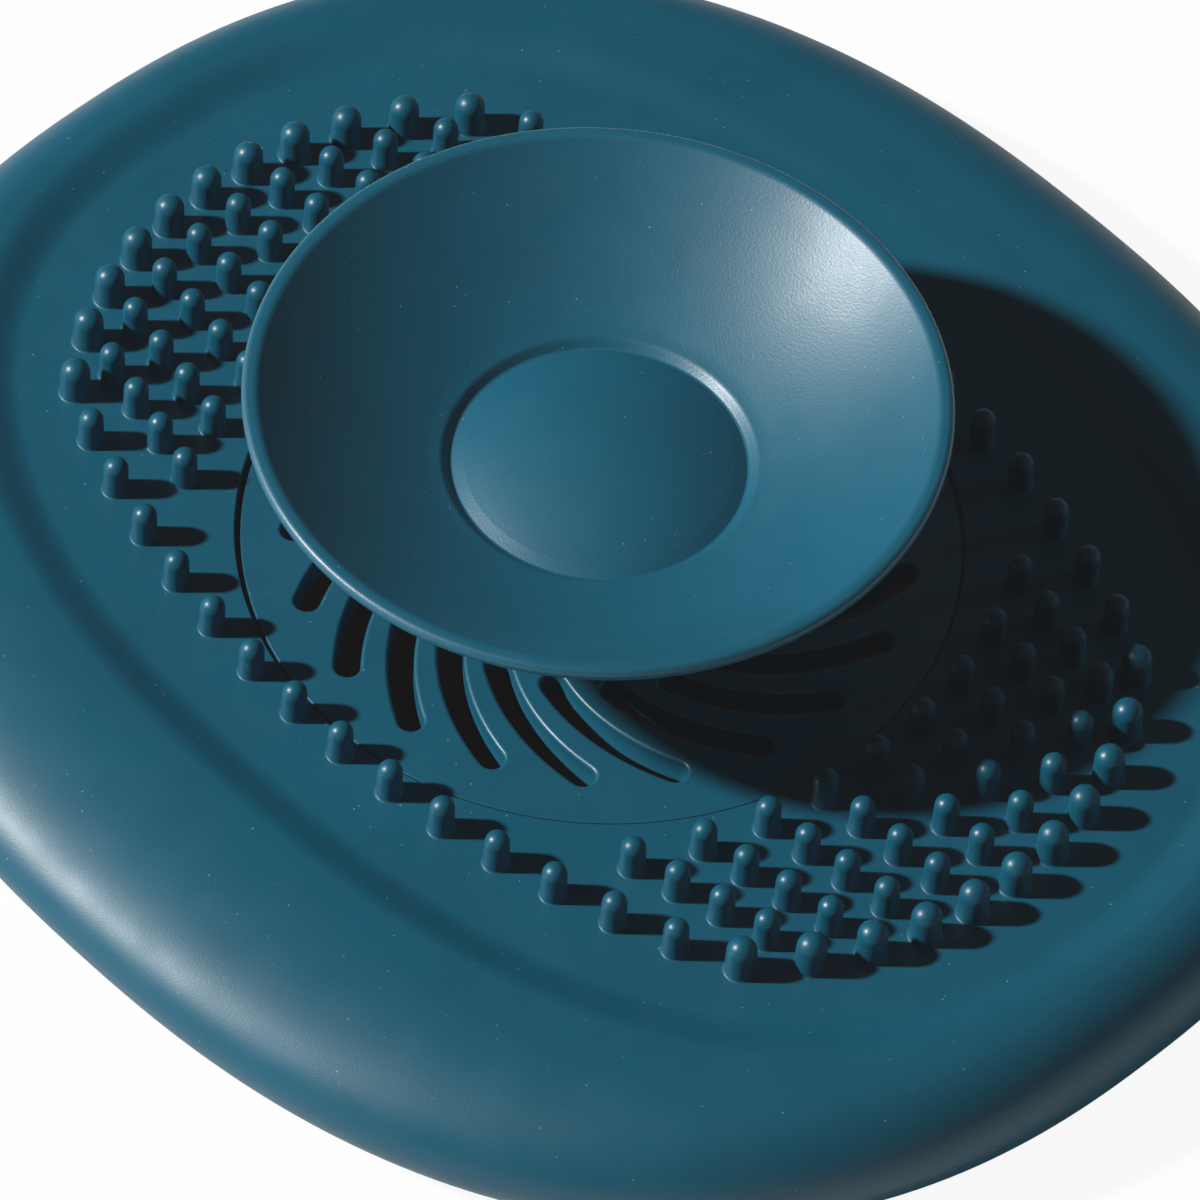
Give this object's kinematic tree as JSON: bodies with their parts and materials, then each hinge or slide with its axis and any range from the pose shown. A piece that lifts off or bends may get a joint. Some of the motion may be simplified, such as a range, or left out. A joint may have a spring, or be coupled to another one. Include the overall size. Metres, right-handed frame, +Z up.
{
  "type": "drain hair catcher",
  "caption": "Silicone drain mat with catching pegs, a lift-out slotted strainer and a cup-shaped stopper that turns inside out to close the drain.",
  "frame": {"origin": "on the strainer's axis, at the level that the mat stands on", "axes": "+Z up along the strainer's axis, +X along the mat's longer side"},
  "size_m": [0.1306, 0.1156, 0.0279],
  "materials": {
    "mat_silicone": "satin",
    "strainer_silicone": "satin",
    "stopper_silicone": "satin",
    "suction_cup_silicone": "satin"
  },
  "bodies": {
    "mat": {"mat": "mat_silicone", "suction_cup_front_left": "suction_cup_silicone", "suction_cup_front_right": "suction_cup_silicone", "suction_cup_back_left": "suction_cup_silicone", "suction_cup_back_right": "suction_cup_silicone"},
    "strainer": {"strainer": "strainer_silicone", "stopper_hub": "stopper_silicone", "stopper_wall": "stopper_silicone"},
    "stopper_rim": {"stopper_rim": "stopper_silicone"}
  },
  "joints": [
    {"name": "strainer_lift", "type": "slide", "parent": "mat", "child": "strainer", "axis": [0, 0, 1], "range_m": [0, 0.03]},
    {"name": "stopper_flip", "type": "slide", "parent": "strainer", "child": "stopper_rim", "axis": [0, 0, -1], "range_m": [0, 0.0161], "deforming": ["stopper_wall"]}
  ]
}
